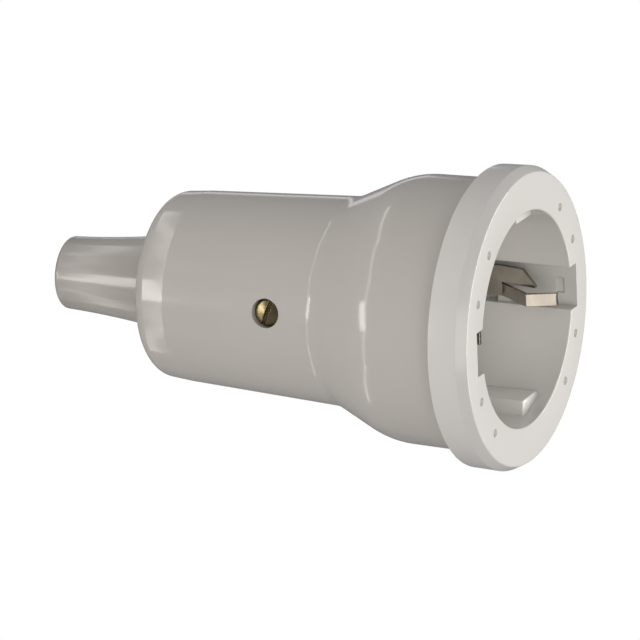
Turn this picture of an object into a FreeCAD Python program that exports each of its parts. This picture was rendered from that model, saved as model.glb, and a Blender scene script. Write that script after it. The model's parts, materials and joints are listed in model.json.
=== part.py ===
import FreeCAD, Part

import math
import os
import re

import Sketcher

# An inline socket connector: a round socket well for a two-pin plug with side earth contacts, on the end
# of a flexible lead. A grey shell carries a white insert with the well, and a bend sleeve at its tail.
#
# Every piece is drawn in one working frame: X runs along the connector's axis from the middle of its face
# towards the tail, Z points to the upper pin, and Y to the side that holds the shell's screw.
# At the end all pieces get the same rest placement. Lying down, so round a thing would roll, so it stands on
# the flat tip of its bend sleeve: the face looks up along Z, and the side with the screw looks along -Y.

doc = FreeCAD.newDocument("inline_socket_connector")
sheet = doc.addObject("Spreadsheet::Sheet", "Sizes")

sizes = [
    ("wellRadius", 19.5, "radius of the socket well"),
    ("wellDepth", 17.5, "depth of the socket well"),
    ("wellWall", 1.6, "wall round the well"),
    ("floorThick", 4.0, "floor of the well"),
    ("recessDepth", 2.3, "depth of an earth recess in the well's wall"),
    ("recessWidth", 8.0, "width of an earth recess"),
    ("lugWall", 0.9, "wall round an earth recess"),
    ("headGap", 0.2, "gap between the insert and the bore of the shell's head"),
    ("headWall", 1.7, "wall of the shell's head"),
    ("headDraft", 0.45, "how much narrower the head is at its rear, on the radius"),
    ("skirtGap", 0.15, "gap between the rim's skirt and the shell"),
    ("skirtWall", 2.35, "wall of the rim's skirt at its rear edge"),
    ("rimDraft", 0.2, "how much wider the rim is at its front, on the radius"),
    ("faceBevel", 1.0, "width of the bevel round the face"),
    ("bevelDepth", 1.9, "depth of the bevel round the face"),
    ("rimDepth", 7.2, "depth of the rim"),
    ("flangeThick", 2.6, "thickness of the flange behind the face"),
    ("ribNear", 2.8, "distance of a guide rib's near flank from the pin line"),
    ("ribWidth", 6.4, "width of a guide rib"),
    ("ribRise", 3.05, "how far a guide rib stands out of the well's wall"),
    ("ribStart", 2.8, "depth at which the guide ribs start"),
    ("pinPitch", 19.0, "distance between the two pins"),
    ("pinHoleLead", 0.33, "how much wider a pin hole is than its contact's bore, on the radius"),
    ("flareSetback", 1.0, "how far behind the insert the head starts to narrow"),
    ("flareLength", 11.0, "length over which the head narrows"),
    ("flareRound", 16.0, "rounding where the head starts to narrow"),
    ("flareHollow", 7.0, "rounding where the barrel starts"),
    ("flareShift", 1.0, "how far the inner flare lies ahead of the outer one"),
    ("barrelWall", 2.0, "wall of the barrel"),
    ("barrelDraft", 1.95, "how much narrower the barrel is at its rear, on the radius"),
    ("rearWall", 2.5, "thickness of the shell's rear wall"),
    ("rearRound", 2.8, "rounding of the shell's rear edge"),
    ("boreGap", 0.09, "least gap between the inner parts and the shell's bore"),
    ("cableBore", 4.2, "radius of the cable's way in the bend sleeve's tip"),
    ("cableBoreLength", 8.0, "length of the narrow way in the tip"),
    ("tipWall", 2.45, "wall of the bend sleeve at its tip"),
    ("sleeveTaper", 2.15, "how much wider the sleeve is where it leaves the shell, on the radius"),
    ("sleeveLength", 21.1, "length of the sleeve behind the shell"),
    ("sleeveSweep", 183.0, "radius of the sleeve's hollow outline"),
    ("sleeveTipRound", 0.6, "rounding of the sleeve's tip"),
    ("neckStep", 0.6, "depth of the sleeve's groove that holds the shell's rear wall"),
    ("mouthWall", 2.2, "wall of the sleeve's neck"),
    ("sleeveFlangeStep", 1.6, "how far the sleeve's inner flange stands out, on the radius"),
    ("sleeveFlangeThick", 2.1, "thickness of the sleeve's inner flange"),
    ("sleeveGap", 3.0, "room between the tail beam and the sleeve"),
    ("fitGap", 0.05, "clearance of close fits, measured on the radius"),
    ("overcut", 1.0, "how far a cut runs past the face that it opens"),
    ("drillGap", 0.25, "how far a screw's hole runs past its tip"),
    ("baseGap", 0.5, "how much narrower the contact base is than the insert behind the well, on the radius"),
    ("baseShoulder", 3.0, "thickness of the base at its full radius"),
    ("baseSideGap", 0.4, "gap between the base's rear edge and the barrel's bore"),
    ("baseThick", 8.0, "thickness of the contact base"),
    ("contactBore", 2.42, "inner radius of a pin contact"),
    ("contactWall", 0.58, "wall of a pin contact"),
    ("contactLength", 15.8, "length of a pin contact"),
    ("contactInset", 0.2, "gap between the well floor and a pin contact"),
    ("contactSlit", 0.5, "width of the slits in a pin contact"),
    ("contactSlitLength", 8.6, "length of the slits in a pin contact"),
    ("terminalGap", 3.7, "distance between the base and a pin terminal"),
    ("terminalLength", 10.8, "length of a pin terminal"),
    ("terminalWall", 0.6, "wall of a pin terminal round its contact"),
    ("terminalScrewRear", 3.2, "distance of a terminal's screw from its rear end"),
    ("wireBore", 1.7, "radius of a wire hole"),
    ("strapThick", 1.2, "thickness of the earth strap"),
    ("strapWidth", 6.0, "width of the earth strap"),
    ("strapOverhang", 0.2, "how far the strap reaches past an earth clip's back"),
    ("tabOuter", 10.2, "distance of the strap tab's outer face from the axis"),
    ("tabWidth", 5.2, "width of the strap's tab"),
    ("earthBlockHeight", 5.4, "height of the earth terminal"),
    ("earthBlockLength", 6.6, "length of the earth terminal"),
    ("earthBlockWidth", 6.4, "width of the earth terminal"),
    ("clipThick", 0.8, "thickness of an earth clip"),
    ("clipBackGap", 2.1, "gap between an earth clip and the back of its recess"),
    ("clipFoot", 5.2, "length of an earth clip's foot"),
    ("leafWidth", 3.1, "width of an earth clip's leaf"),
    ("leafStand", 4.0, "straight length of a clip in the well"),
    ("leafTip", 6.2, "depth of the leaf's tip"),
    ("leafLean", 1.6, "how far the leaf leans inwards"),
    ("leafCut", 2.7, "corner cut off the leaf's tip"),
    ("tongueStart", 0.25, "distance of the tongue from the middle of the clip"),
    ("tongueWidth", 2.3, "width of an earth clip's tongue"),
    ("tongueApex", 6.6, "depth of the tongue's bend"),
    ("tongueRise", 5.7, "how far the tongue's bend lies inwards of the clip's back"),
    ("tongueTip", 1.7, "depth of the tongue's tip"),
    ("tongueTipRise", 3.4, "how far the tongue's tip lies inwards of the clip's back"),
    ("rivetRadius", 1.2, "radius of an earth rivet"),
    ("rivetHeadLip", 0.5, "how far a rivet's head stands out, on the radius"),
    ("rivetHead", 0.5, "height of an earth rivet's heads"),
    ("baseScrewEdge", 2.4, "distance of a base screw from the base's rear edge"),
    ("baseScrewBite", 2.6, "how far a base screw goes into the insert"),
    ("troughRadius", 4.1, "radius of the cable trough"),
    ("tailGap", 0.8, "distance between the trough and the tail beam"),
    ("tailThick", 7.5, "thickness of the tail beam"),
    ("tailWidth", 10.0, "width of the tail beam"),
    ("clampGap", 6.0, "room between the terminals and the clamp table"),
    ("tableLength", 13.0, "length of the clamp table"),
    ("tableInner", 1.5, "distance of the clamp table's face from the axis"),
    ("tableBack", 7.7, "thickness of the table behind the trough"),
    ("tableOverhang", 0.2, "how much wider the table is than the saddle, on each side"),
    ("saddleLength", 7.0, "length of the clamp saddle"),
    ("saddleInner", 1.3, "distance of the saddle's face from the axis"),
    ("saddleBack", 2.5, "thickness of the saddle behind the trough"),
    ("saddleEdge", 2.5, "distance of a clamp screw from the saddle's end"),
    ("clampScrewGap", 0.95, "distance between a clamp screw and the trough"),
    ("clampScrewBite", 5.4, "how far a clamp screw goes past the axis"),
    ("shellScrewSetback", 9.4, "distance of the shell's screw from the barrel's front"),
    ("shellScrewTurn", 7.4, "turn of the shell's screw about the axis, in degrees"),
    ("shellScrewSink", 2.6, "distance of the screw head's seat from the barrel's surface"),
    ("shellScrewHeadRadius", 2.4, "radius of the shell screw's head"),
    ("shellScrewHead", 1.8, "height of the shell screw's head"),
    ("shellScrewRadius", 1.45, "radius of the shell screw's shank"),
    ("shellScrewLength", 10.0, "length of the shell screw's shank"),
    ("screwRecessGap", 0.25, "gap round the shell screw's head"),
    ("bossWall", 1.35, "wall of the boss round the screw's recess"),
    ("bossGap", 0.8, "gap between the boss and the tail beam"),
    ("nutWidth", 5.5, "width of the square nut's pocket"),
    ("nutThick", 2.4, "thickness of the square nut"),
    ("nutFloor", 1.4, "material between the nut and the tail beam's outer face"),
    ("smallScrewHeadRadius", 2.3, "head radius of the inner screws"),
    ("smallScrewHead", 1.6, "head height of the inner screws"),
    ("smallScrewRadius", 1.45, "shank radius of the inner screws"),
    ("slotWidth", 0.8, "width of a screw slot"),
    ("slotDepth", 0.9, "depth of a screw slot"),
]

# What follows from those sizes, from the well outwards and from the face to the tail
follows = [
    ("wellOuter", "wellRadius + wellWall", "outer radius of the well's wall"),
    ("recessReach", "wellRadius + recessDepth", "distance of an earth recess's back from the axis"),
    ("lugRadius", "recessReach + lugWall", "outer radius of the wall behind an earth recess"),
    ("lugWidth", "recessWidth + 2 * lugWall", "width of the wall behind an earth recess"),
    ("headBore", "lugRadius + headGap", "bore radius of the shell's head"),
    ("headRadius", "headBore + headWall", "outer radius of the shell's head at its front"),
    ("headRearRadius", "headRadius - headDraft", "outer radius of the shell's head at its rear"),
    ("skirtBore", "headRadius + skirtGap", "bore radius of the rim's skirt"),
    ("rimRearRadius", "skirtBore + skirtWall", "radius of the rim's rear edge"),
    ("rimRadius", "rimRearRadius + rimDraft", "largest radius of the rim"),
    ("faceRadius", "rimRadius - faceBevel", "outer radius of the flat face"),
    ("insertDepth", "wellDepth + floorThick", "depth of the insert's rear face"),
    ("baseDepth", "insertDepth + baseThick", "depth of the contact base's rear face"),
    ("contactStart", "insertDepth + contactInset", "depth of a pin contact's mouth"),
    ("contactEnd", "contactStart + contactLength", "depth of a pin contact's rear end"),
    ("contactRadius", "contactBore + contactWall", "outer radius of a pin contact"),
    ("pinHoleRadius", "contactBore + pinHoleLead", "radius of the pin holes in the well floor"),
    ("terminalFront", "baseDepth + terminalGap", "depth of a pin terminal's front"),
    ("terminalRear", "terminalFront + terminalLength", "depth of a pin terminal's rear"),
    ("terminalHalf", "contactRadius + terminalWall", "half the width of a pin terminal"),
    ("terminalTop", "pinPitch / 2 + terminalHalf", "distance of a pin terminal's top from the axis"),
    ("tabInner", "tabOuter - strapThick", "distance of the strap tab's inner face from the axis"),
    ("tabEnd", "baseDepth + earthBlockLength", "depth of the strap tab's end"),
    ("clipOuter", "recessReach - clipBackGap", "distance of an earth clip's back from the axis"),
    ("clipInner", "clipOuter - clipThick", "distance of an earth clip's face from the axis"),
    ("footEnd", "clipOuter - clipFoot", "distance of a clip foot's end from the axis"),
    ("footDepth", "insertDepth - clipThick", "depth of a clip foot's face"),
    ("leafBend", "wellDepth - leafStand", "depth at which a clip's leaf and tongue part"),
    ("rivetHeadRadius", "rivetRadius + rivetHeadLip", "radius of an earth rivet's heads"),
    ("rivetReach", "footEnd + rivetHeadRadius", "distance of an earth rivet from the axis"),
    ("strapReach", "clipOuter + strapOverhang", "distance of the strap's ends from the axis"),
    ("tailInner", "troughRadius + tailGap", "distance of the tail beam's inner face from the axis"),
    ("tailOuter", "tailInner + tailThick", "distance of the tail beam's outer face from the axis"),
    ("tableStart", "terminalRear + clampGap", "depth at which the clamp table starts"),
    ("tailDepth", "tableStart + tableLength", "depth of the tail beam's end"),
    ("tableOuter", "troughRadius + tableBack", "distance of the clamp table's outer face from the axis"),
    ("clampScrewReach", "troughRadius + smallScrewRadius + clampScrewGap",
     "distance of a clamp screw from the middle"),
    ("saddleDepth", "tableStart + tableLength / 2", "depth of the clamp saddle's middle"),
    ("saddleOuter", "troughRadius + saddleBack", "distance of the saddle's back from the axis"),
    ("saddleHalf", "clampScrewReach + saddleEdge", "half the width of the clamp saddle"),
    ("tableHalf", "saddleHalf + tableOverhang", "half the width of the clamp table"),
    ("shellInside", "tailDepth + sleeveGap + sleeveFlangeThick", "depth of the rear wall's inner face"),
    ("shellDepth", "shellInside + rearWall", "depth of the shell's rear face"),
    ("tableCorner", "sqrt(tableOuter ^ 2 + tableHalf ^ 2)", "distance of the table's corners from the axis"),
    ("tailCorner", "sqrt(tailOuter ^ 2 + (tailWidth / 2) ^ 2)",
     "distance of the beam's corners from the axis"),
    ("screwCorner", "sqrt((terminalTop + smallScrewHead) ^ 2 + smallScrewHeadRadius ^ 2)",
     "distance of a terminal screw's head from the axis"),
    ("rearBore", "max(tableCorner; tailCorner; screwCorner) + boreGap",
     "bore radius of the barrel at its rear"),
    ("barrelBore", "rearBore + barrelDraft", "bore radius of the barrel at its front"),
    ("barrelRadius", "barrelBore + barrelWall", "outer radius of the barrel at its front"),
    ("barrelRearRadius", "rearBore + barrelWall", "outer radius of the barrel at its rear"),
    ("flareStart", "insertDepth + flareSetback", "depth at which the head starts to narrow"),
    ("flareEnd", "flareStart + flareLength", "depth at which the barrel starts"),
    ("baseRadius", "wellOuter - baseGap", "largest radius of the contact base"),
    ("baseRearRadius", "barrelBore - baseSideGap", "radius of the base at its rear face"),
    ("baseScrewReach", "(baseRearRadius - baseScrewEdge) * sqrt(0.5)",
     "distance of a base screw from both middle planes"),
    ("shellScrewDepth", "flareEnd + shellScrewSetback", "depth of the shell's screw"),
    ("surfaceAtScrew", "barrelRadius - barrelDraft * shellScrewSetback / (shellDepth - flareEnd)",
     "distance of the barrel's surface from the axis at the screw"),
    ("shellScrewSeat", "surfaceAtScrew - shellScrewSink", "distance of the screw head's seat from the axis"),
    ("screwRecess", "shellScrewHeadRadius + screwRecessGap", "radius of the screw's recess"),
    ("bossReach", "tailOuter + bossGap", "distance of the boss's end from the axis"),
    ("bossRoot", "surfaceAtScrew - barrelWall / 2", "distance of the boss's root in the wall from the axis"),
    ("nutOuter", "tailOuter - nutFloor", "distance of the nut's outer face from the axis"),
    ("sleeveTipRadius", "cableBore + tipWall", "radius of the bend sleeve's tip"),
    ("sleeveRootRadius", "sleeveTipRadius + sleeveTaper", "radius of the bend sleeve behind the shell"),
    ("sleeveNeckRadius", "sleeveRootRadius - neckStep", "radius of the sleeve's neck in the rear wall"),
    ("sleeveDepth", "shellDepth + sleeveLength", "depth of the bend sleeve's tip"),
]

for row, (alias, number, note) in enumerate(sizes, start=1):
    sheet.set(f"A{row}", note)
    sheet.set(f"B{row}", str(number))
    sheet.setAlias(f"B{row}", alias)
for row, (alias, formula, note) in enumerate(follows, start=len(sizes) + 1):
    sheet.set(f"A{row}", note)
    sheet.set(f"B{row}", "=" + formula)
    sheet.setAlias(f"B{row}", alias)
doc.recompute()

aliases = {entry[0] for entry in sizes + follows}


def bound(expression):
    """The expression with every size's name tied to the sheet."""
    return re.sub("[A-Za-z]+", lambda word: f"Sizes.{word[0]}" if word[0] in aliases else word[0], expression)


def value(expression):
    """The number that an expression on the sheet's sizes gives."""
    result = sheet.evalExpression(bound(expression))
    return float(getattr(result, "Value", result))


def newBody(name):
    body = doc.addObject("PartDesign::Body", name)
    body.Label = name
    return body


def originPlane(body, role):
    return next(item for item in body.Origin.OriginFeatures if item.Role == role)


def newSketch(body, name, role, lift="0", turn="0"):
    """A sketch on a plane of the body, turned about its first axis and then moved along its normal."""
    sketch = body.newObject("Sketcher::SketchObject", name)
    sketch.AttachmentSupport = (originPlane(body, role), [""])
    sketch.MapMode = "FlatFace"
    aboutX = FreeCAD.Rotation(FreeCAD.Vector(1, 0, 0), 0)
    sketch.AttachmentOffset = FreeCAD.Placement(FreeCAD.Vector(), aboutX)
    sketch.setExpression("AttachmentOffset.Base.z", bound(f"({lift}) * cos({turn})"))
    sketch.setExpression("AttachmentOffset.Base.y", bound(f"-({lift}) * sin({turn})"))
    sketch.setExpression("AttachmentOffset.Rotation.Angle", bound(turn))
    return sketch


def arcBetween(start, end, radius, side):
    """The arc from start to end that bulges to the left of that way for side 1, and to the right for -1."""
    chord = end - start
    middle = (start + end) * 0.5
    across = FreeCAD.Vector(-chord.y, chord.x, 0).normalize()
    sink = math.sqrt(max(radius ** 2 - (chord.Length / 2) ** 2, 0))
    centre = middle - across * sink * side
    circle = Part.Circle(centre, FreeCAD.Vector(0, 0, 1), radius)
    first, last = (end, start) if side > 0 else (start, end)
    return Part.ArcOfCircle(circle, circle.parameter(first), circle.parameter(last))


def outline(sketch, corners):
    """A closed outline through corners, each (x, y), or (x, y, radius, side) for an arc that leads to it."""
    points = [FreeCAD.Vector(value(corner[0]), value(corner[1]), 0) for corner in corners]
    starts, ends = [], []
    for index, corner in enumerate(corners):
        before = points[index - 1]
        here = points[index]
        if len(corner) == 2:
            edge = sketch.addGeometry(Part.LineSegment(before, here), False)
            first, last = 1, 2
        else:
            edge = sketch.addGeometry(arcBetween(before, here, value(corner[2]), corner[3]), False)
            first, last = (2, 1) if corner[3] > 0 else (1, 2)
        starts.append((edge, first))
        ends.append((edge, last))
    for index, corner in enumerate(corners):
        sketch.addConstraint(Sketcher.Constraint("Coincident", *ends[index - 1], *starts[index]))
    for end, corner in zip(ends, corners):
        pin(sketch, end, corner)
        if len(corner) == 4:
            place = sketch.addConstraint(Sketcher.Constraint("Radius", end[0], value(corner[2])))
            sketch.setExpression(f"Constraints[{place}]", bound(corner[2]))


def pin(sketch, end, corner):
    """Hold a corner at its two sizes."""
    for kind, axis, expression in (("DistanceX", -2, corner[0]), ("DistanceY", -1, corner[1])):
        if expression == "0":
            sketch.addConstraint(Sketcher.Constraint("PointOnObject", *end, axis))
        else:
            place = sketch.addConstraint(Sketcher.Constraint(kind, -1, 1, *end, value(expression)))
            sketch.setExpression(f"Constraints[{place}]", bound(expression))


def box(low, high):
    """The corners of a rectangle."""
    return [(low[0], low[1]), (high[0], low[1]), (high[0], high[1]), (low[0], high[1])]


def span(sign, near, far, half):
    """A rectangle between two distances from the pin line, on the side that sign gives."""
    if sign > 0:
        return box((near, f"-({half})"), (far, half))
    return box((f"-({far})", f"-({half})"), (f"-({near})", half))


def circle(sketch, centre, radius):
    point = FreeCAD.Vector(value(centre[0]), value(centre[1]), 0)
    edge = sketch.addGeometry(Part.Circle(point, FreeCAD.Vector(0, 0, 1), value(radius)), False)
    pin(sketch, (edge, 3), centre)
    place = sketch.addConstraint(Sketcher.Constraint("Radius", edge, value(radius)))
    sketch.setExpression(f"Constraints[{place}]", bound(radius))


def drawn(corners):
    """What slab asks for: a way to draw these corners in a sketch."""
    return lambda sketch: outline(sketch, corners)


def circles(radius, *centres):
    """The same for circles of one radius."""
    def draw(sketch):
        for centre in centres:
            circle(sketch, centre, radius)
    return draw


def bothPins(radius):
    return circles(radius, ("0", "pinPitch / 2"), ("0", "-pinPitch / 2"))


def bothRivets(radius):
    return circles(radius, ("rivetReach", "0"), ("-rivetReach", "0"))


def bothBaseScrews():
    return circles("smallScrewRadius + fitGap", ("baseScrewReach", "baseScrewReach"),
                   ("-baseScrewReach", "-baseScrewReach"))


def feature(body, kind, name, sketch):
    made = body.newObject(f"PartDesign::{kind}", name)
    made.Profile = sketch
    sketch.Visibility = False
    return made


def revolve(body, name, corners, kind="Revolution"):
    """An outline in the X-Y plane, turned all the way about the axis."""
    sketch = newSketch(body, name + "Outline", "XY_Plane")
    outline(sketch, corners)
    made = feature(body, kind, name, sketch)
    made.ReferenceAxis = (sketch, ["H_Axis"])
    made.Angle = 360
    return made


def groove(body, name, corners):
    return revolve(body, name, corners, "Groove")


def extrude(body, name, sketch, length, kind="Pad", backwards=False):
    """A sketch given a depth. A pad goes along the sketch's normal, and a pocket against it."""
    made = feature(body, kind, name, sketch)
    made.setExpression("Length", bound(length))
    made.Reversed = backwards
    return made


def slab(body, name, start, end, draw, kind="Pad"):
    """Material, or a pocket, between two depths, of the section that draw puts in the Y-Z plane."""
    sketch = newSketch(body, name + "Section", "YZ_Plane", lift=start)
    draw(sketch)
    return extrude(body, name, sketch, f"({end}) - ({start})", kind, backwards=kind == "Pocket")


def radial(body, name, start, end, draw, kind="Pocket", turn="shellScrewTurn"):
    """Material, or a pocket, between two distances from the axis, of a section drawn from the side."""
    sketch = newSketch(body, name + "Section", "XZ_Plane", lift=f"-({start})", turn=turn)
    draw(sketch)
    return extrude(body, name, sketch, f"({end}) - ({start})", kind, backwards=kind == "Pad")


def roundRing(body, name, depth, radius):
    """Round the ring-shaped edge at a depth."""
    doc.recompute()
    tip = body.Tip
    names = []
    for number, edge in enumerate(tip.Shape.Edges, start=1):
        reach = edge.BoundBox
        if max(abs(reach.XMin - value(depth)), abs(reach.XMax - value(depth))) < value("fitGap"):
            names.append(f"Edge{number}")
    made = body.newObject("PartDesign::Fillet", name)
    made.Base = (tip, names)
    made.setExpression("Radius", bound(radius))


# The white insert: face, rim and socket well in one moulding
def makeInsert():
    body = newBody("socket_insert")
    revolve(body, "InsertBlank", [
        ("0", "0"), ("0", "faceRadius"), ("bevelDepth", "rimRadius"), ("rimDepth", "rimRearRadius"),
        ("rimDepth", "skirtBore"), ("flangeThick", "skirtBore"), ("flangeThick", "wellOuter"),
        ("insertDepth", "wellOuter"), ("insertDepth", "0"),
    ])
    lugEdge = "sqrt(lugRadius ^ 2 - (lugWidth / 2) ^ 2)"
    slab(body, "RecessWalls", "flangeThick", "insertDepth", drawn([
        (lugEdge, "-lugWidth / 2"), (lugEdge, "lugWidth / 2", "lugRadius", -1),
        (f"-{lugEdge}", "lugWidth / 2"), (f"-{lugEdge}", "-lugWidth / 2", "lugRadius", -1),
    ]))
    groove(body, "Well", box(("0", "0"), ("wellDepth", "wellRadius")))
    slab(body, "EarthRecesses", "0", "wellDepth", drawn(box(
        ("-recessReach", "-recessWidth / 2"), ("recessReach", "recessWidth / 2"))), "Pocket")
    root = "(wellRadius + wellWall / 2)"
    inner = "(wellRadius - ribRise)"
    near = "-ribNear"
    far = "(-ribNear - ribWidth)"
    nearRoot = f"sqrt({root} ^ 2 - ribNear ^ 2)"
    farRoot = f"sqrt({root} ^ 2 - {far} ^ 2)"
    slab(body, "UpperRib", "ribStart", "wellDepth", drawn([
        (far, inner), (near, inner), (near, nearRoot), (far, farRoot, root, -1)]))
    slab(body, "LowerRib", "ribStart", "wellDepth", drawn([
        (near, f"-{inner}"), (far, f"-{inner}"), (far, f"-{farRoot}"), (near, f"-{nearRoot}", root, -1)]))
    slab(body, "PinHoles", "wellDepth", "insertDepth", bothPins("pinHoleRadius"), "Pocket")
    half = "leafWidth + fitGap"
    for name, sign in (("NearClip", 1), ("FarClip", -1)):
        slab(body, name + "Slot", "wellDepth", "insertDepth", drawn(
            span(sign, "clipInner - fitGap", "clipOuter + fitGap", half)), "Pocket")
        slab(body, name + "FootRoom", "footDepth - rivetHead - fitGap", "insertDepth", drawn(
            span(sign, "footEnd - fitGap", "clipOuter + fitGap", half)), "Pocket")
    slab(body, "BaseScrewHoles", "insertDepth - baseScrewBite - drillGap", "insertDepth",
         bothBaseScrews(), "Pocket")
    return body


# The grey shell: a wide head that narrows to a slightly tapered barrel with a closed rear
def makeShell():
    body = newBody("shell")
    revolve(body, "ShellBlank", [
        ("flangeThick", "0"), ("flangeThick", "headRadius"), ("flareStart", "headRearRadius"),
        ("flareEnd", "barrelRadius"), ("shellDepth", "barrelRearRadius"), ("shellDepth", "0"),
    ])
    roundRing(body, "RearRound", "shellDepth", "rearRound")
    roundRing(body, "FlareRound", "flareStart", "flareRound")
    roundRing(body, "FlareHollow", "flareEnd", "flareHollow")
    groove(body, "Inside", [
        ("flangeThick", "0"), ("flangeThick", "headBore"), ("flareStart - flareShift", "headBore"),
        ("flareEnd - flareShift", "barrelBore"), ("shellInside", "rearBore"), ("shellInside", "0"),
    ])
    neck = circles("sleeveNeckRadius + fitGap", ("0", "0"))
    slab(body, "SleeveHole", "shellInside", "shellDepth", neck, "Pocket")
    place = ("shellScrewDepth", "0")
    radial(body, "ScrewBoss", "bossReach", "bossRoot", circles("screwRecess + bossWall", place), "Pad")
    shank = circles("shellScrewRadius + fitGap", place)
    radial(body, "ScrewHole", "bossReach - overcut", "shellScrewSeat", shank)
    radial(body, "ScrewRecess", "shellScrewSeat", "surfaceAtScrew + overcut", circles("screwRecess", place))
    return body


# The bend sleeve: a soft tapered nose with a groove that snaps into the shell's rear wall
def makeSleeve():
    body = newBody("bend_sleeve")
    front = "shellInside - sleeveFlangeThick"
    flange = "sleeveRootRadius + sleeveFlangeStep"
    revolve(body, "SleeveBlank", [
        (front, "sleeveNeckRadius - mouthWall"), (front, flange), ("shellInside", flange),
        ("shellInside", "sleeveNeckRadius"), ("shellDepth", "sleeveNeckRadius"),
        ("shellDepth", "sleeveRootRadius"),
        ("sleeveDepth - sleeveTipRound", "sleeveTipRadius", "sleeveSweep", -1),
        ("sleeveDepth", "sleeveTipRadius - sleeveTipRound", "sleeveTipRound", 1),
        ("sleeveDepth", "cableBore"), ("sleeveDepth - cableBoreLength", "cableBore"),
    ])
    return body


# The contact base: a disc behind the well, with a tail beam that ends in the table of the cable clamp
def makeBase():
    body = newBody("contact_base")
    revolve(body, "BaseDisc", [
        ("insertDepth", "0"), ("insertDepth", "baseRadius"), ("insertDepth + baseShoulder", "baseRadius"),
        ("baseDepth", "baseRearRadius"), ("baseDepth", "0"),
    ])
    slab(body, "TailBeam", "baseDepth", "tailDepth", drawn(box(
        ("tailInner", "-tailWidth / 2"), ("tailOuter", "tailWidth / 2"))))
    slab(body, "ClampTable", "tableStart", "tailDepth", drawn(box(
        ("tableInner", "-tableHalf"), ("tableOuter", "tableHalf"))))
    slab(body, "Trough", "tableStart", "tailDepth", circles("troughRadius", ("0", "0")), "Pocket")
    strapEnd = "insertDepth + strapThick"
    channel = box(("-strapReach - fitGap", "-strapWidth / 2 - fitGap"),
                  ("strapReach + fitGap", "strapWidth / 2 + fitGap"))
    slab(body, "StrapChannel", "insertDepth", strapEnd, drawn(channel), "Pocket")
    rivets = bothRivets("rivetHeadRadius + fitGap")
    slab(body, "RivetRoom", strapEnd, f"{strapEnd} + rivetHead + fitGap", rivets, "Pocket")
    slab(body, "ContactBores", "insertDepth", "baseDepth", bothPins("contactRadius + fitGap"), "Pocket")
    slot = box(("-tabOuter - fitGap", "-tabWidth / 2 - fitGap"),
               ("-tabInner + fitGap", "tabWidth / 2 + fitGap"))
    slab(body, "TabSlot", "insertDepth", "baseDepth", drawn(slot), "Pocket")
    slab(body, "BaseScrewWays", "insertDepth", "baseDepth", bothBaseScrews(), "Pocket")
    half = "nutWidth / 2"
    radial(body, "ShellScrewWay", "tailInner - overcut", "tailOuter + overcut",
           circles("shellScrewRadius + fitGap", ("shellScrewDepth", "0")))
    radial(body, "NutPocket", "tailInner - overcut", "nutOuter", drawn(box(
        (f"shellScrewDepth - {half}", f"-{half}"), (f"shellScrewDepth + {half}", half))))
    clampScrews(body, "0", "clampScrewBite + drillGap")
    return body


def clampScrews(body, start, end):
    """The holes of the two clamp screws, square to the axis."""
    holes = circles("smallScrewRadius + fitGap", ("saddleDepth", "clampScrewReach"),
                    ("saddleDepth", "-clampScrewReach"))
    radial(body, "ClampScrewHoles", start, end, holes, turn="0")


def makeSaddle():
    body = newBody("clamp_saddle")
    start = "saddleDepth - saddleLength / 2"
    end = "saddleDepth + saddleLength / 2"
    slab(body, "SaddleBar", start, end, drawn(box(
        ("-saddleOuter", "-saddleHalf"), ("-saddleInner", "saddleHalf"))))
    slab(body, "SaddleTrough", start, end, circles("troughRadius", ("0", "0")), "Pocket")
    clampScrews(body, "-saddleOuter", "0")
    return body


# A pin contact: a slit spring tube with a lead-in at its mouth, drawn on the axis
def makeContact(name, place):
    body = newBody(name)
    revolve(body, "Tube", [
        ("contactStart", "contactRadius - 2 * fitGap"), ("contactStart", "contactRadius"),
        ("contactEnd", "contactRadius"), ("contactEnd", "contactBore"),
        ("contactStart + contactWall", "contactBore"),
    ])
    slit = box(("-contactRadius - overcut", "-contactSlit / 2"), ("contactRadius + overcut", "contactSlit / 2"))
    slab(body, "Slits", "contactStart", "contactStart + contactSlitLength", drawn(slit), "Pocket")
    return body, place


# A pin terminal: a brass block on a contact's rear end, with a wire hole and its screw's thread
def makeTerminal(name, place):
    body = newBody(name)
    centre = ("0", "pinPitch / 2")
    slab(body, "Block", "terminalFront", "terminalRear", drawn(box(
        ("-terminalHalf", "pinPitch / 2 - terminalHalf"), ("terminalHalf", "terminalTop"))))
    seat = circles("contactRadius + fitGap", centre)
    slab(body, "ContactSeat", "terminalFront", "contactEnd + fitGap", seat, "Pocket")
    slab(body, "WireHole", "terminalFront", "terminalRear", circles("wireBore", centre), "Pocket")
    thread = newSketch(body, "ThreadSection", "XY_Plane", lift="terminalTop")
    circle(thread, ("terminalRear - terminalScrewRear", "0"), "smallScrewRadius + fitGap")
    extrude(body, "Thread", thread, "terminalHalf", "Pocket")
    return body, place


# The earth strap: a flat bar across the back of the well, with a tab that carries the earth terminal
def makeStrap():
    body = newBody("earth_strap")
    end = "insertDepth + strapThick"
    slab(body, "Bar", "insertDepth", end, drawn(box(
        ("-strapReach", "-strapWidth / 2"), ("strapReach", "strapWidth / 2"))))
    slab(body, "Tab", "insertDepth", "tabEnd", drawn(box(
        ("-tabOuter", "-tabWidth / 2"), ("-tabInner", "tabWidth / 2"))))
    slab(body, "RivetHoles", "insertDepth", end, bothRivets("rivetRadius + fitGap"), "Pocket")
    earthThread(body, "-tabOuter", "-tabInner")
    return body


def earthThread(body, start, end):
    """The earth terminal's screw hole, square to the axis."""
    radial(body, "ScrewHole", start, end, circles(
        "smallScrewRadius + fitGap", ("tabEnd - earthBlockLength / 2", "0")), turn="0")


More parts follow.
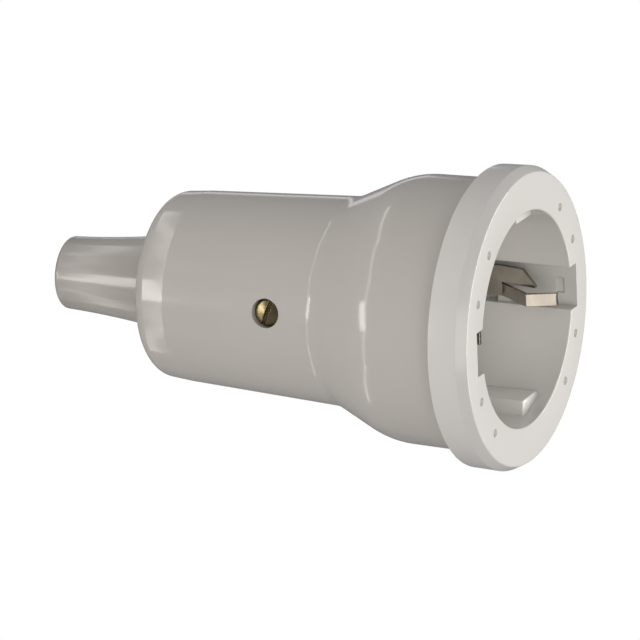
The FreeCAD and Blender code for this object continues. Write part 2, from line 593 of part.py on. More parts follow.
def makeEarthTerminal():
    body = newBody("earth_terminal")
    start = "tabEnd - earthBlockLength"
    slab(body, "Block", start, "tabEnd", drawn(box(
        ("-tabInner", "-earthBlockWidth / 2"), ("-tabInner + earthBlockHeight", "earthBlockWidth / 2"))))
    wire = circles("wireBore", ("-tabInner + earthBlockHeight / 2", "0"))
    slab(body, "WireHole", start, "tabEnd", wire, "Pocket")
    earthThread(body, "-tabInner", "-tabInner + earthBlockHeight / 2")
    return body


# An earth clip: a sprung strip that stands in its recess, slit into a straight leaf and a bent tongue
def makeClip(name, place):
    body = newBody(name)
    foot = newSketch(body, "FootSection", "XY_Plane", lift="-leafWidth")
    outline(foot, [
        ("insertDepth", "footEnd"), ("insertDepth", "clipOuter"), ("leafBend", "clipOuter"),
        ("leafBend", "clipInner"), ("footDepth", "clipInner"), ("footDepth", "footEnd"),
    ])
    extrude(body, "Foot", foot, "leafWidth + tongueStart + tongueWidth")
    leaf = newSketch(body, "LeafSection", "XY_Plane", lift="-leafWidth")
    outline(leaf, [
        ("leafBend", "clipOuter"), ("leafTip", "clipOuter - leafLean"), ("leafTip", "clipInner - leafLean"),
        ("leafBend", "clipInner"),
    ])
    extrude(body, "Leaf", leaf, "leafWidth")
    tongue = newSketch(body, "TongueSection", "XY_Plane", lift="tongueStart")
    outline(tongue, [
        ("leafBend", "clipOuter"), ("tongueApex", "clipOuter - tongueRise + clipThick"),
        ("tongueTip", "clipOuter - tongueTipRise + clipThick"), ("tongueTip", "clipOuter - tongueTipRise"),
        ("tongueApex", "clipOuter - tongueRise"), ("leafBend", "clipInner"),
    ])
    extrude(body, "Tongue", tongue, "tongueWidth")
    corner = [("leafTip", "-leafWidth"), ("leafTip + leafCut", "-leafWidth"),
              ("leafTip", "-leafWidth + leafCut")]
    radial(body, "CornerCut", "clipInner - leafLean - overcut", "recessReach", drawn(corner), turn="0")
    rivet = circles("rivetRadius + fitGap", ("rivetReach", "0"))
    slab(body, "RivetHole", "footDepth", "insertDepth", rivet, "Pocket")
    return body, place


def makeRivet(name, place):
    body = newBody(name)
    stack = "rivetHead + clipThick + strapThick"
    revolve(body, "Rivet", [
        ("0", "0"), ("0", "rivetRadius"), ("rivetHead", "rivetHeadRadius"), ("rivetHead", "rivetRadius"),
        (stack, "rivetRadius"), (stack, "rivetHeadRadius"), (f"{stack} + rivetHead", "rivetRadius"),
        (f"{stack} + rivetHead", "0"),
    ])
    return body, place


# A slotted screw, drawn with the top of its head at the origin and its tip along X
def makeScrew(name, place, length, kind="smallScrew"):
    body = newBody(name)
    head = kind + "Head"
    headRadius = kind + "HeadRadius"
    radius = kind + "Radius"
    bevel = "slotWidth / 3"
    tip = f"{head} + {length}"
    revolve(body, "Blank", [
        ("0", "0"), ("0", f"{headRadius} - {bevel}"), (bevel, headRadius), (head, headRadius), (head, radius),
        (f"{tip} - {bevel}", radius), (tip, f"{radius} - {bevel}"), (tip, "0"),
    ])
    slot = box(("-slotWidth / 2", f"-{headRadius} - overcut"), ("slotWidth / 2", f"{headRadius} + overcut"))
    slab(body, "Slot", "0", "slotDepth", drawn(slot), "Pocket")
    return body, place


def makeNut(name, place):
    body = newBody(name)
    half = "nutWidth / 2 - fitGap"
    slab(body, "Square", "0", "nutThick", drawn(box((f"-({half})", f"-({half})"), (half, half))))
    slab(body, "Thread", "0", "nutThick", circles("shellScrewRadius + fitGap", ("0", "0")), "Pocket")
    return body, place


def at(x, y, z, turn=None):
    """A place in the working frame, each coordinate a number or an expression."""
    spot = FreeCAD.Vector(*(value(str(item)) for item in (x, y, z)))
    return FreeCAD.Placement(spot, turn or FreeCAD.Rotation())


def turned(axis, degrees):
    return FreeCAD.Rotation(FreeCAD.Vector(*axis), degrees)


upright = at(0, 0, 0)
flipped = at(0, 0, 0, turned((1, 0, 0), 180))
screwLine = at(0, 0, 0, turned((1, 0, 0), value("shellScrewTurn")))
towardsAxis = turned((0, 0, 1), -90)
towardsNear = turned((0, 0, 1), 90)
towardsFace = turned((0, 0, 1), 180)
downward = turned((0, 1, 0), 90)

pieces = [
    (makeShell(), upright),
    (makeSleeve(), upright),
    (makeInsert(), upright),
    (makeBase(), upright),
    (makeStrap(), upright),
    (makeEarthTerminal(), upright),
    (makeSaddle(), upright),
    makeClip("near_earth_clip", upright),
    makeClip("far_earth_clip", flipped),
    makeScrew("earth_terminal_screw", at(
        "tabEnd - earthBlockLength / 2", "-tabOuter - smallScrewHead", 0, towardsNear),
        "strapThick + earthBlockHeight / 2"),
    makeScrew("shell_screw", screwLine * at(
        "shellScrewDepth", "shellScrewSeat + shellScrewHead", 0, towardsAxis),
        "shellScrewLength", "shellScrew"),
    makeNut("shell_nut", screwLine * at("shellScrewDepth", "nutOuter", 0, towardsAxis)),
]
for side, sign in (("near", ""), ("far", "-")):
    pieces.append(makeRivet(f"{side}_earth_rivet", at("footDepth - rivetHead", f"{sign}rivetReach", 0)))
for side, sign, flip in (("upper", "", upright), ("lower", "-", flipped)):
    pieces.append(makeContact(f"{side}_pin_contact", at(0, 0, f"{sign}pinPitch / 2")))
    pieces.append(makeTerminal(f"{side}_terminal", flip))
    pieces.append(makeScrew(f"{side}_terminal_screw", flip * at(
        "terminalRear - terminalScrewRear", 0, "terminalTop + smallScrewHead", downward), "terminalHalf"))
    pieces.append(makeScrew(f"{side}_base_screw", at(
        "baseDepth + smallScrewHead", f"{sign}baseScrewReach", f"{sign}baseScrewReach", towardsFace),
        "baseThick + baseScrewBite"))
    pieces.append(makeScrew(f"{side}_clamp_screw", at(
        "saddleDepth", "-saddleOuter - smallScrewHead", f"{sign}clampScrewReach", towardsNear),
        "saddleOuter + clampScrewBite"))

rest = at(0, 0, "sleeveDepth", towardsFace * downward)
for body, place in pieces:
    body.Placement = rest * place
doc.recompute()

for item in doc.Objects:
    if "Invalid" in item.State or "Error" in item.State:
        raise RuntimeError(f"{item.Name} of {item.Label} failed: {item.State}")

os.makedirs("parts", exist_ok=True)
for body, place in pieces:
    shape = body.Shape
    if shape.isNull() or not shape.isValid() or len(shape.Solids) != 1:
        raise RuntimeError(f"{body.Label} is not one sound solid")
    shape.exportStep(os.path.join("parts", body.Label + ".step"))
    print(f"{body.Label}: {shape.Volume / 1000:.2f} cm3")
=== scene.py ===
import json
import math

import bpy
from mathutils import Matrix, Vector


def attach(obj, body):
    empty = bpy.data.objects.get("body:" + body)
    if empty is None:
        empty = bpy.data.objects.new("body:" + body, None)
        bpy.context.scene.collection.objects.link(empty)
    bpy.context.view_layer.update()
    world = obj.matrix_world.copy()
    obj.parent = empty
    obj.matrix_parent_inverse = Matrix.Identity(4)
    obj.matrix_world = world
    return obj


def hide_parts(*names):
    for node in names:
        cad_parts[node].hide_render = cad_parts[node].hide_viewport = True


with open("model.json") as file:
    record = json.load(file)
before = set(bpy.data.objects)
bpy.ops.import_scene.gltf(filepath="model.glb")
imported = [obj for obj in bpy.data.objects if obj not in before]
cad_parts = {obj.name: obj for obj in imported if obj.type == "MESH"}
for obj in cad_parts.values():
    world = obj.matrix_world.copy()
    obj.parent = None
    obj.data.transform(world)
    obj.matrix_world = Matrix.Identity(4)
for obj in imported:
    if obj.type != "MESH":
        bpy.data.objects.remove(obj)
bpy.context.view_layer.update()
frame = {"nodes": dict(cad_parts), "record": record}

mm = 0.001
height = 91.7  # from the sleeve's tip up to the face
near = -1  # the side with the screw looks along -Y
beyond = 1.0  # how far a cutter reaches out of what it cuts


def level(depth):  # a depth below the face, as a height in metres
    return (height - depth) * mm


def outwards(radius):  # the depth at which a side piece is drawn, before stand turns it
    return height - radius


# Helpers for edit mode

def freshStart():
    if bpy.context.mode != "OBJECT":
        bpy.ops.object.mode_set(mode="OBJECT")
    bpy.ops.object.select_all(action="DESELECT")


def editNew(name):
    made = bpy.context.object
    made.name = name
    made.data.name = name
    bpy.ops.object.mode_set(mode="EDIT")
    bpy.ops.mesh.select_all(action="SELECT")
    return made


def editAgain(made):
    freshStart()
    made.select_set(True)
    bpy.context.view_layer.objects.active = made
    bpy.ops.object.mode_set(mode="EDIT")
    bpy.ops.mesh.select_all(action="SELECT")


def turnAll(degrees, axis):  # about the origin
    bpy.ops.transform.rotate(value=math.radians(degrees), orient_axis=axis, center_override=(0, 0, 0))


def leaveEdit():
    bpy.ops.object.mode_set(mode="OBJECT")


def closeUp(made, angle=32):  # merged, normals outwards, smooth but for its sharp edges
    bpy.ops.object.mode_set(mode="EDIT")
    bpy.ops.mesh.select_all(action="SELECT")
    bpy.ops.mesh.remove_doubles(threshold=2e-6)
    bpy.ops.mesh.normals_make_consistent(inside=False)
    leaveEdit()
    bpy.ops.object.shade_smooth_by_angle(angle=math.radians(angle))
    return made


def rounded(corners, steps):  # each corner is (radius, depth, rounding)
    points = []
    for index, (x, y, bend) in enumerate(corners):
        here = Vector((x, y))
        if not bend:
            points.append(here)
            continue
        before = (Vector(corners[index - 1][:2]) - here).normalized()
        after = (Vector(corners[(index + 1) % len(corners)][:2]) - here).normalized()
        half = before.angle(after) / 2
        centre = here + (before + after).normalized() * bend / math.sin(half)
        start = here + before * bend / math.tan(half) - centre
        end = here + after * bend / math.tan(half) - centre
        points += [centre + start.lerp(end, step / steps).normalized() * bend for step in range(steps + 1)]
    return points


def lathe(name, outline, segments, ends="cap"):  # a round piece about Z, through (radius, depth)
    freshStart()
    radius, depth = outline[0]
    bpy.ops.mesh.primitive_circle_add(vertices=segments, radius=radius * mm,
                                      fill_type="NOTHING" if ends == "join" else "NGON")
    made = editNew(name)
    bpy.ops.transform.translate(value=(0, 0, level(depth)))
    if ends == "cap":
        bpy.ops.mesh.region_to_loop()
    for newRadius, newDepth in outline[1:] + (outline[:1] if ends == "join" else []):
        drop = (depth - newDepth) * mm
        bpy.ops.mesh.extrude_edges_move(TRANSFORM_OT_translate={"value": (0, 0, drop)})
        scale = newRadius / radius
        bpy.ops.transform.resize(value=(scale, scale, 1))
        radius, depth = newRadius, newDepth
    if ends == "cap":
        bpy.ops.mesh.edge_face_add()
    return closeUp(made)


def block(name, low, high):  # a box between two corners
    freshStart()
    bpy.ops.mesh.primitive_cube_add(size=1)
    made = editNew(name)
    bpy.ops.transform.resize(value=tuple((b - a) * mm for a, b in zip(low, high)))
    bpy.ops.transform.translate(value=tuple((a + b) / 2 * mm for a, b in zip(low, high)))
    leaveEdit()
    return made


def softenEdges(made, width, segments=3, angle=30):
    bevel = made.modifiers.new("Soft edges", "BEVEL")
    bevel.width = width * mm
    bevel.segments = segments
    bevel.limit_method = "ANGLE"
    bevel.angle_limit = math.radians(angle)
    bpy.context.view_layer.objects.active = made
    bpy.ops.object.modifier_apply(modifier=bevel.name)


def combine(made, others, operation="DIFFERENCE"):
    for other in others:
        freshStart()
        bpy.context.view_layer.objects.active = made
        made.select_set(True)
        step = made.modifiers.new(other.name, "BOOLEAN")
        step.operation = operation
        step.solver = "EXACT"
        step.object = other
        bpy.ops.object.modifier_apply(modifier=step.name)
        bpy.data.objects.remove(other)
    return closeUp(made)


def trim(made, radius, low=30.0, high=-2.0, segments=128):  # keeps what lies within a radius of the axis
    return combine(made, [lathe("Round", [(radius, low), (radius, high)], segments)], "INTERSECT")


def shift(made, way):  # moves the mesh and leaves the origin
    editAgain(made)
    bpy.ops.transform.translate(value=tuple(part * mm for part in way))
    leaveEdit()
    return made


def stand(made, turn, depth):  # from along Z to the screw's line, outwards from the axis
    editAgain(made)
    turnAll(-90, "X")
    turnAll(turn, "Z")
    bpy.ops.transform.translate(value=(0, 0, level(depth)))
    leaveEdit()
    return made


def crossing(sign, low, high):  # the far side's corners, or the same turned to the near side
    corners = [(sign * x, sign * y, z) for x, y, z in (low, high)]
    return [tuple(edge(parts) for parts in zip(*corners)) for edge in (min, max)]


# Finishes

class Maths:  # a number in a material's nodes, with the usual signs

    def __init__(self, tree, socket):
        self.tree = tree
        self.socket = socket

    def apply(self, operation, first, second):
        node = self.tree.nodes.new("ShaderNodeMath")
        node.operation = operation
        for place, item in enumerate((first, second)):
            if isinstance(item, Maths):
                self.tree.links.new(item.socket, node.inputs[place])
            else:
                node.inputs[place].default_value = item
        return Maths(self.tree, node.outputs[0])

    def __add__(self, other):
        return self.apply("ADD", self, other)

    def __mul__(self, other):
        return self.apply("MULTIPLY", self, other)

    __radd__ = __add__
    __rmul__ = __mul__


class Finish:  # one material and its nodes

    def __init__(self, name, colour, fixed):
        self.material = bpy.data.materials.new(name)
        self.material.use_nodes = True
        self.tree = self.material.node_tree
        self.shader = self.tree.nodes["Principled BSDF"]
        self.colour = colour
        for key, number in fixed.items():
            self.shader.inputs[key].default_value = number

    def node(self, kind, sockets, output=0, **settings):
        made = self.tree.nodes.new(kind)
        for key, setting in settings.items():
            setattr(made, key, setting)
        for key, item in sockets.items():
            if isinstance(item, Maths):
                self.tree.links.new(item.socket, made.inputs[key])
            else:
                made.inputs[key].default_value = item
        return Maths(self.tree, made.outputs[output])

    def noise(self, scale, detail, roughness=0.5):
        place = self.node("ShaderNodeTexCoord", {}, output="Object")
        return self.node("ShaderNodeTexNoise", {"Vector": place, "Scale": scale, "Detail": detail,
                                                "Roughness": roughness})

    def drive(self, socket, item):
        self.tree.links.new(item.socket, self.shader.inputs[socket])

    def tint(self, amount, spread):
        low, high = (tuple(part * share for part in self.colour) + (1,) for share in (1 - spread, 1 + spread))
        mixed = self.node("ShaderNodeMix", {0: amount, 6: low, 7: high}, output=2, data_type="RGBA")
        self.drive("Base Color", mixed)  # sockets 6, 7 and 2 are its colours

    def bump(self, relief, distance, edge):  # low relief over edges that look a little worn
        worn = self.node("ShaderNodeBevel", {"Radius": edge * mm}, samples=6)
        raised = self.node("ShaderNodeBump", {"Distance": distance * mm, "Height": relief, "Normal": worn})
        self.drive("Normal", raised)


plastics = {
    "shell": {"name": "Grey gloss plastic", "colour": (0.51, 0.485, 0.45), "gloss": 0.11,
              "coat": 0.35, "coatGloss": 0.08},
    "sleeve": {"name": "Grey soft plastic", "colour": (0.465, 0.44, 0.41), "gloss": 0.15,
               "coat": 0.4, "coatGloss": 0.1},
    "insert": {"name": "White gloss plastic", "colour": (0.645, 0.63, 0.60), "gloss": 0.20,
               "coat": 0.25, "coatGloss": 0.1},
    "base": {"name": "Matt moulding", "colour": (0.50, 0.46, 0.40), "gloss": 0.55, "cloud": 0.06},
}
metals = {
    "nickel": {"name": "Nickel plate", "colour": (0.34, 0.31, 0.265), "gloss": 0.10, "patchAndShadeSpread": 0.45},
    "brass": {"name": "Turned brass", "colour": (0.34, 0.28, 0.15), "gloss": 0.22, "patchAndShadeSpread": 0.6},
    "zinc": {"name": "Zinc plate", "colour": (0.58, 0.58, 0.57), "gloss": 0.3, "patchAndShadeSpread": 0.12},
}


# Faint clouds, uneven gloss and low orange peel
def mouldedPlastic(name, colour, gloss, cloud=0.02, uneven=0.08, coat=0.0, coatGloss=0.03):
    made = Finish(name, colour, {"Coat Weight": coat, "Coat Roughness": coatGloss})
    made.tint(made.noise(scale=38.0, detail=3.0), cloud)
    made.drive("Roughness", made.noise(scale=160.0, detail=5.0, roughness=0.6) * uneven + gloss)
    made.bump(made.noise(scale=300.0, detail=2.0), distance=0.006, edge=0.25)
    return made.material


# Dulled in patches, with painted shade: the colour is darkened in corners and recesses, where little light
# reaches
def wornMetalWithPaintedShade(name, colour, gloss, patchAndShadeSpread, uneven=0.1, corner=1.2):
    made = Finish(name, colour, {"Metallic": 1.0})
    # painted shade: ambient occlusion darkens the colour in corners, slots and recesses
    clear = made.node("ShaderNodeAmbientOcclusion", {"Distance": corner * mm}, output="AO", samples=6)
    made.tint(made.noise(scale=260.0, detail=4.0, roughness=0.6) * clear, patchAndShadeSpread)
    made.drive("Roughness", made.noise(scale=520.0, detail=3.0) * uneven + gloss)
    made.bump(made.noise(scale=380.0, detail=2.0), distance=0.004, edge=0.15)
    return made.material


print("finishes")
finishes = {slot: mouldedPlastic(**values) for slot, values in plastics.items()}
finishes.update({slot: wornMetalWithPaintedShade(**values) for slot, values in metals.items()})


def dress(made, slot, node):
    made.data.materials.clear()
    made.data.materials.append(finishes[slot])
    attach(made, "root")
    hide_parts(node)


print("shell")
shell = {  # head, flare and barrel, in mm and depths below the face
    "segments": 240, "bendSteps": 14, "edge": 0.2, "front": 2.6, "headRadius": 24.6, "headBore": 22.9,
    "flareStart": 22.5, "flareEnd": 33.5, "flareRound": 16.0, "flareHollow": 7.0,
    "headRear": 24.15, "barrelFront": 19.0, "barrelRear": 17.05,
    "boreFront": 17.0, "boreRear": 15.05, "boreShift": 1.0, "boreHollow": 3.0,
    "crease": 6.6, "creaseRound": 0.5, "creaseDrop": 0.28,
    "inside": 68.1, "insideRound": 0.8, "rear": 70.6, "rearRound": 2.8, "holeRadius": 8.25,
    "screwDepth": 42.9, "screwTurn": 7.4, "screwSeat": 15.91, "screwHole": 1.5, "screwHoleStart": 12.0,
    "recess": 2.65, "recessLip": 0.12, "recessTop": 0.8,
    "bossRadius": 4.0, "bossStart": 13.2, "bossSink": 0.6, "bossSegments": 64, "screwSegments": 96,
}


def makeShell():
    s = shell
    slope = (s["barrelFront"] - s["barrelRear"]) / (s["rear"] - s["flareEnd"])
    crease = s["rear"] - s["crease"]
    outline = rounded([
        (s["headBore"], s["front"], s["edge"]), (s["headRadius"], s["front"], s["edge"]),
        (s["headRear"], s["flareStart"], s["flareRound"]), (s["barrelFront"], s["flareEnd"], s["flareHollow"]),
        (s["barrelRear"] + slope * s["crease"], crease, s["creaseRound"]),
        (s["barrelRear"] - s["creaseDrop"], s["rear"], s["rearRound"]), (s["holeRadius"], s["rear"], s["edge"]),
        (s["holeRadius"], s["inside"], s["edge"]), (s["boreRear"], s["inside"], s["insideRound"]),
        (s["boreFront"], s["flareEnd"] - s["boreShift"], s["boreHollow"]),
        (s["headBore"], s["flareStart"] - s["boreShift"], 0),
    ], s["bendSteps"])
    made = lathe("Housing", outline, s["segments"], "join")
    depth = s["screwDepth"]
    surface = s["barrelFront"] - slope * (depth - s["flareEnd"])
    boss = lathe("Boss", [(s["bossRadius"], outwards(s["bossStart"])),
                          (s["bossRadius"], outwards(surface) + s["bossSink"])], s["bossSegments"])
    hole = lathe("Hole", [(s["screwHole"], outwards(s["screwHoleStart"])),
                          (s["screwHole"], outwards(s["screwSeat"])), (s["recess"], outwards(s["screwSeat"])),
                          (s["recess"], outwards(surface) + s["recessLip"] / 2),
                          (s["recess"] + beyond, outwards(surface) - s["recessTop"])], s["screwSegments"])
    stand(boss, s["screwTurn"], depth)
    stand(hole, s["screwTurn"], depth)
    return combine(combine(made, [boss], "UNION"), [hole])


dress(makeShell(), "shell", "shell")

print("bend sleeve")
sleeve = {
    "segments": 160, "bendSteps": 7, "front": 66.0, "inside": 68.1, "rear": 70.6, "tip": 91.7,
    "rootRadius": 8.8, "tipRadius": 6.65, "sweep": 183.0, "sweepSteps": 20, "neck": 8.2, "flange": 10.4,
    "flangeRound": 0.3, "insideRound": 0.2, "rootRound": 0.15, "mouth": 6.0,
    "bore": 4.2, "boreLength": 8.0, "boreRound": 0.25, "tipRound": 0.7,
}


def makeSleeve():
    s = sleeve
    half = math.hypot(s["tip"] - s["rear"], s["rootRadius"] - s["tipRadius"]) / 2
    hollow = half * half / s["sweep"] / 2
    root = Vector((s["rootRadius"], s["rear"]))
    tip = Vector((s["tipRadius"], s["tip"]))
    curve = []
    for step in range(1, s["sweepSteps"]):
        t = step / s["sweepSteps"]
        point = root.lerp(tip, t)
        point.x -= hollow * 4 * t * (1 - t)
        curve.append((*point, 0))
    corners = [(s["mouth"], s["front"], s["flangeRound"]), (s["flange"], s["front"], s["flangeRound"]),
               (s["flange"], s["inside"], s["insideRound"]), (s["neck"], s["inside"], 0),
               (s["neck"], s["rear"], 0), (s["rootRadius"], s["rear"], s["rootRound"])] + curve + [
               (s["tipRadius"], s["tip"], s["tipRound"]), (s["bore"], s["tip"], s["boreRound"]),
               (s["bore"], s["tip"] - s["boreLength"], 0)]
    return lathe("BendSleeve", rounded(corners, s["bendSteps"]), s["segments"], "join")


dress(makeSleeve(), "sleeve", "bend_sleeve")

print("socket insert")
insert = {
    "segments": 288, "bendSteps": 5, "face": 26.3, "faceRound": 0.25, "edge": 0.2,
    "rim": 27.3, "rimRound": 0.7, "rimRear": 27.1, "bevel": 1.9, "rimDepth": 7.2,
    "skirtBore": 24.75, "skirtRound": 0.15, "flange": 2.6, "wellOuter": 21.1, "depth": 21.5,
    "well": 19.5, "wellDepth": 17.5, "wellRound": 0.3, "innerRound": 0.25, "hub": 2.0,
    "recessWidth": 8.0, "recessReach": 21.8, "lugRadius": 22.7, "lugWidth": 9.8, "lap": 0.5, "sink": 0.2,
    "ribNear": 2.8, "ribFar": 9.2, "ribInner": 16.45, "ribStart": 2.8, "ribBevel": 0.25, "ribSink": 0.6,
    "pinPitch": 19.0, "pinHole": 2.75, "pinLead": 0.5, "pinSegments": 64,
    "slotInner": 18.85, "slotOuter": 19.75, "slotHalf": 3.15,
    "windowLow": -1.0, "windowHigh": 1.8, "windowStart": 2.5, "windowEnd": 4.0, "windowSink": 0.3,
    "markPlace": 3.3, "markDepth": 4.5, "markSize": 0.45, "markSink": 0.2,
    "stopLow": 2.75, "stopHigh": 3.95, "stopStart": 12.4, "stopEnd": 15.0, "stopReach": 20.1, "stopBevel": 0.2,
    "dotReach": 22.5, "dotRadius": 0.75, "dotDepth": 0.8, "dotTop": 0.4, "dotFloor": 0.6, "dotWaist": 0.9,
    "dotAngles": [23.3, 46.5], "dotSegments": 32,
}


def makeInsert():
    s = insert
    corners = [(s["wellOuter"], s["depth"], 0), (s["wellOuter"], s["flange"], s["edge"]),
               (s["skirtBore"], s["flange"], s["edge"]), (s["skirtBore"], s["rimDepth"], s["skirtRound"]),
               (s["rimRear"], s["rimDepth"], s["edge"]), (s["rim"], s["bevel"], s["rimRound"]),
               (s["face"], 0, s["faceRound"]), (s["well"], 0, s["innerRound"]),
               (s["well"], s["wellDepth"], s["wellRound"]), (s["hub"], s["wellDepth"], 0)]
    made = lathe("SocketInsert", rounded(corners, s["bendSteps"]), s["segments"])
    half = s["lugWidth"] / 2
    for sign in (-1, 1):
        low, high = sorted((sign * s["well"], sign * s["lugRadius"]))
        lug = block("Lug", (-half, low, height - s["depth"]), (half, high, height - s["flange"] + s["lap"]))
        made = combine(made, [trim(lug, s["lugRadius"])], "UNION")
        low, high = sorted((sign * s["ribInner"], sign * s["wellOuter"]))
        rib = block("Rib", (low, s["ribNear"], height - s["wellDepth"] - s["lap"]),
                    (high, s["ribFar"], height - s["ribStart"]))
        softenEdges(rib, s["ribBevel"])
        made = combine(made, [trim(rib, s["wellOuter"] - s["ribSink"])], "UNION")
    half = s["recessWidth"] / 2
    back = s["recessReach"]
    cutters = [block("Recess", (-half, -back, height - s["wellDepth"]), (half, back, height + beyond))]
    for sign in (-1, 1):  # a window, a small mark and the clip's slot in each recess
        cutters.append(block("Window", *crossing(
            sign, (s["windowLow"], back - s["sink"], height - s["windowEnd"]),
            (s["windowHigh"], back + s["windowSink"], height - s["windowStart"]))))
        cutters.append(block("Mark", *crossing(
            sign, (-s["markPlace"] - s["markSize"], back - s["sink"], height - s["markDepth"]),
            (-s["markPlace"], back + s["markSink"], height - s["markDepth"] + s["markSize"]))))
        low, high = sorted((sign * s["slotInner"], sign * s["slotOuter"]))
        cutters.append(block("ClipSlot", (-s["slotHalf"], low, height - s["depth"] - beyond),
                             (s["slotHalf"], high, height - s["wellDepth"] + beyond)))
    made = combine(made, cutters)
    stops = []
    for sign in (-1, 1):  # a block beside each clip
        stop = block("Stop", *crossing(sign, (s["stopLow"], s["stopReach"], height - s["stopEnd"]),
                                       (s["stopHigh"] + s["sink"], back + s["sink"], height - s["stopStart"])))
        softenEdges(stop, s["stopBevel"])
        stops.append(stop)
    made = combine(made, stops, "UNION")
    holes = []
    for sign in (-1, 1):
        hole = lathe("PinHole", [(s["pinHole"], s["depth"] + beyond),
                                 (s["pinHole"], s["wellDepth"] + s["pinLead"]),
                                 (s["pinHole"] + s["pinLead"] * 2, s["wellDepth"] - s["pinLead"])],
                     s["pinSegments"])
        holes.append(shift(hole, (sign * s["pinPitch"] / 2, 0, 0)))
    made = combine(made, holes)
    dots = []
    for side in (90, -90):
        for angle in s["dotAngles"]:
            for sign in (-1, 1):
                turn = math.radians(side + sign * angle)
                dot = lathe("Dot", [(s["dotRadius"] * s["dotFloor"], s["dotDepth"]),
                                    (s["dotRadius"] * s["dotWaist"], s["dotDepth"] * s["dotFloor"]),
                                    (s["dotRadius"], 0.0), (s["dotRadius"], -s["dotTop"])], s["dotSegments"])
                dots.append(shift(dot, (s["dotReach"] * math.cos(turn), s["dotReach"] * math.sin(turn), 0)))
    return combine(made, dots)


dress(makeInsert(), "insert", "socket_insert")

print("earth clips")
clip = {
    "thick": 0.8, "back": 19.7, "foot": 21.5, "bend": 13.5, "lap": 0.1, "edge": 0.12,
    "leafWidth": 3.1, "leafTip": 6.2, "leafLean": 1.6, "leafCut": 2.7,
    "tongueStart": 0.25, "tongueWidth": 2.3, "apex": 6.6, "apexReach": 14.0, "tip": 1.7, "tipReach": 16.3,
}


def strip(name, low, high, steps):  # its section carried through (depth, distance of the back)
    freshStart()
    thick = clip["thick"]
    depth, back = steps[0]
    bpy.ops.mesh.primitive_plane_add(size=1)
    made = editNew(name)
    bpy.ops.transform.resize(value=((high - low) * mm, thick * mm, 1))
    bpy.ops.transform.translate(value=((low + high) / 2 * mm, near * (back - thick / 2) * mm, level(depth)))
    for newDepth, newBack in steps[1:]:
        way = (0, near * (newBack - back) * mm, (depth - newDepth) * mm)
        bpy.ops.mesh.extrude_region_move(TRANSFORM_OT_translate={"value": way})
        depth, back = newDepth, newBack
    leaveEdit()
    return made


def makeClip(name, turned):
    s = clip
    thick = s["thick"]
    leaf = strip(name + "Leaf", 0.0, s["leafWidth"], [
        (s["foot"], s["back"]), (s["bend"], s["back"]), (s["leafTip"], s["back"] - s["leafLean"])])
    editAgain(leaf)
    bpy.ops.mesh.bisect(plane_co=((s["leafWidth"] - s["leafCut"]) * mm, 0, level(s["leafTip"])),
                        plane_no=(1, 0, 1), use_fill=True, clear_outer=True)
    leaveEdit()
    tongue = strip(name, -s["tongueStart"] - s["tongueWidth"], -s["tongueStart"], [
        (s["foot"], s["back"]), (s["bend"], s["back"]),
        (s["apex"], s["apexReach"] + thick), (s["tip"], s["tipReach"] + thick)])
    low, high = sorted((near * s["back"], near * (s["back"] - thick)))
    bridge = block(name + "Foot", (-s["tongueStart"] - s["lap"], low, height - s["foot"]),
                   (s["lap"], high, height - s["bend"]))
    made = combine(tongue, [leaf, bridge], "UNION")
    softenEdges(made, s["edge"], 2)
    closeUp(made)
    if turned:
        editAgain(made)
        turnAll(180, "Z")
        leaveEdit()
    return made


dress(makeClip("NearEarthClip", False), "nickel", "near_earth_clip")
dress(makeClip("FarEarthClip", True), "nickel", "far_earth_clip")

print("shell screw")
screw = {
    "segments": 64, "bendSteps": 5, "headRadius": 2.4, "head": 1.8, "headRound": 0.15,
    "crown": 0.25, "crownFlat": 0.4, "headBevel": 0.35,
    "shankRadius": 1.45, "shank": 10.0, "shankRound": 0.1, "tipBevel": 0.27,
    "slotWidth": 0.8, "slotDepth": 0.9, "slotTurn": 19.0, "slotReach": 3.0,
}


def makeScrew():
    s = screw
    seat = shell["screwSeat"]
    top = height - seat - s["head"]
    corners = [(s["shankRadius"] - s["tipBevel"], top + s["head"] + s["shank"], 0),
               (s["shankRadius"], top + s["head"] + s["shank"] - s["tipBevel"], 0),
               (s["shankRadius"], top + s["head"], s["shankRound"]),
               (s["headRadius"], top + s["head"], s["headRound"]),
               (s["headRadius"], top + s["crown"], s["headBevel"]), (s["crownFlat"], top, 0)]
    made = lathe("SideScrew", rounded(corners, s["bendSteps"]), s["segments"])
    half = s["slotWidth"] / 2
    slot = block("Slot", (-s["slotReach"], -half, seat + s["head"] - s["slotDepth"]),
                 (s["slotReach"], half, seat + s["head"] + beyond))
    combine(made, [slot])
    editAgain(made)
    turnAll(s["slotTurn"], "Z")
    leaveEdit()
    return stand(made, shell["screwTurn"], shell["screwDepth"])


dress(makeScrew(), "brass", "shell_screw")

print("finishes of the CAD nodes")
slots = {part["node"]: part["material_slot"] for part in frame["record"]["subparts"]}
for node, made in frame["nodes"].items():
    made.data.materials.clear()
    made.data.materials.append(finishes[slots[node]])

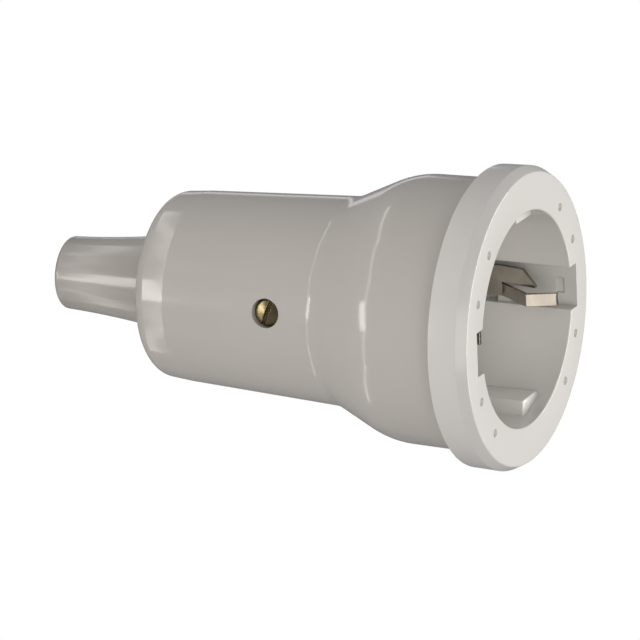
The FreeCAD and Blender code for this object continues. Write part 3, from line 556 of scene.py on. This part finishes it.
print("floor, camera and light")
warm = (1.0, 0.97, 0.93)
cool = (0.95, 0.94, 1.0)
studio = {
    "floor": 3.0, "floorColour": (0.8, 0.8, 0.8), "floorGloss": 0.9, "world": 0.20, "worldTint": cool,
    "cameraPlace": (-0.331526, -0.951155, 0.521883), "cameraTurn": (-12.6123, -64.2932, 84.5044),
    "lens": 347.49,
    "target": 40.0,  # depth of the point that the lamps face
    "lamps": {  # places in the picture's own axes from the target, and sizes, in metres
        "tail": {"side": -0.922, "up": -0.08, "toward": 0.382, "size": (0.13, 0.36), "power": 0.95,
                 "tint": warm},
        "back": {"side": -0.12, "up": 0.42, "toward": -0.9, "size": (0.3, 0.12), "power": 0.08,
                 "tint": cool},
        "front": {"side": 0.182, "up": -0.354, "toward": 1.029, "size": (0.8, 0.8), "power": 3.9,
                  "tint": (1.0, 0.97, 0.92)},
        "middle": {"side": 0.567, "up": 0.025, "toward": 0.841, "size": (0.7, 0.9), "power": 2.2,
                   "tint": (0.97, 0.98, 1.0)},
        "right": {"side": 0.985, "up": 0.0, "toward": -0.137, "size": (0.6, 0.8), "power": 9.4,
                  "tint": (1.0, 0.98, 0.95)},
    },
    "ring": {  # low strips round the near side, which the tail's edge and the flare reflect
        "reach": 0.85, "drop": -0.60, "turns": (-80, -40, 0, 40, 80),
        "size": (0.66, 0.045), "power": 0.27, "tint": warm,
    },
}


def makeFloor():  # white to the camera and pale to the light that it sends back
    freshStart()
    bpy.ops.mesh.primitive_grid_add(size=studio["floor"], x_subdivisions=2, y_subdivisions=2)
    made = editNew("Floor")
    leaveEdit()
    colour = studio["floorColour"]
    finish = Finish("White floor", colour, {"Base Color": colour + (1,), "Roughness": studio["floorGloss"]})
    glow = finish.node("ShaderNodeEmission", {"Color": (1, 1, 1, 1)})
    seen = finish.node("ShaderNodeLightPath", {}, output="Is Camera Ray")
    plain = Maths(finish.tree, finish.shader.outputs[0])
    mixed = finish.node("ShaderNodeMixShader", {0: seen, 1: plain, 2: glow})
    finish.tree.links.new(mixed.socket, finish.tree.nodes["Material Output"].inputs["Surface"])
    made.data.materials.append(finish.material)
    made.visible_glossy = False  # the ring shines from below the floor
    made.visible_shadow = False


makeFloor()

bpy.ops.object.camera_add(location=studio["cameraPlace"],
                          rotation=tuple(math.radians(part) for part in studio["cameraTurn"]))
camera = bpy.context.object
camera.data.lens = studio["lens"]
bpy.context.scene.camera = camera
bpy.context.view_layer.update()

target = Vector((0, 0, level(studio["target"])))
axes = camera.matrix_world.to_3x3()


def addLamp(name, lamp, place, up):  # a rectangle that faces the target
    bpy.ops.object.light_add(type="AREA", location=place)
    made = bpy.context.object
    made.name = name
    made.data.shape = "RECTANGLE"
    made.data.size, made.data.size_y = lamp["size"]
    made.data.energy = lamp["power"]
    made.data.color = lamp["tint"]
    back = (place - target).normalized()
    side = up.cross(back).normalized()
    made.rotation_euler = Matrix((side, back.cross(side), back)).transposed().to_euler()


for name, lamp in studio["lamps"].items():
    place = target + axes @ Vector((lamp["side"], lamp["up"], lamp["toward"]))
    addLamp(name, lamp, place, axes @ Vector((0, 1, 0)))
ring = studio["ring"]
facing = math.atan2(studio["cameraPlace"][1], studio["cameraPlace"][0])
for turn in ring["turns"]:
    angle = facing + math.radians(turn)
    place = Vector((ring["reach"] * math.cos(angle), ring["reach"] * math.sin(angle), ring["drop"]))
    addLamp("Ring", ring, place, Vector((0, 0, 1)))

world = bpy.data.worlds.new("Soft white")
bpy.context.scene.world = world
world.use_nodes = True
background = world.node_tree.nodes["Background"]
background.inputs["Color"].default_value = studio["worldTint"] + (1,)
background.inputs["Strength"].default_value = studio["world"]
bpy.context.scene.view_settings.view_transform = "Standard"
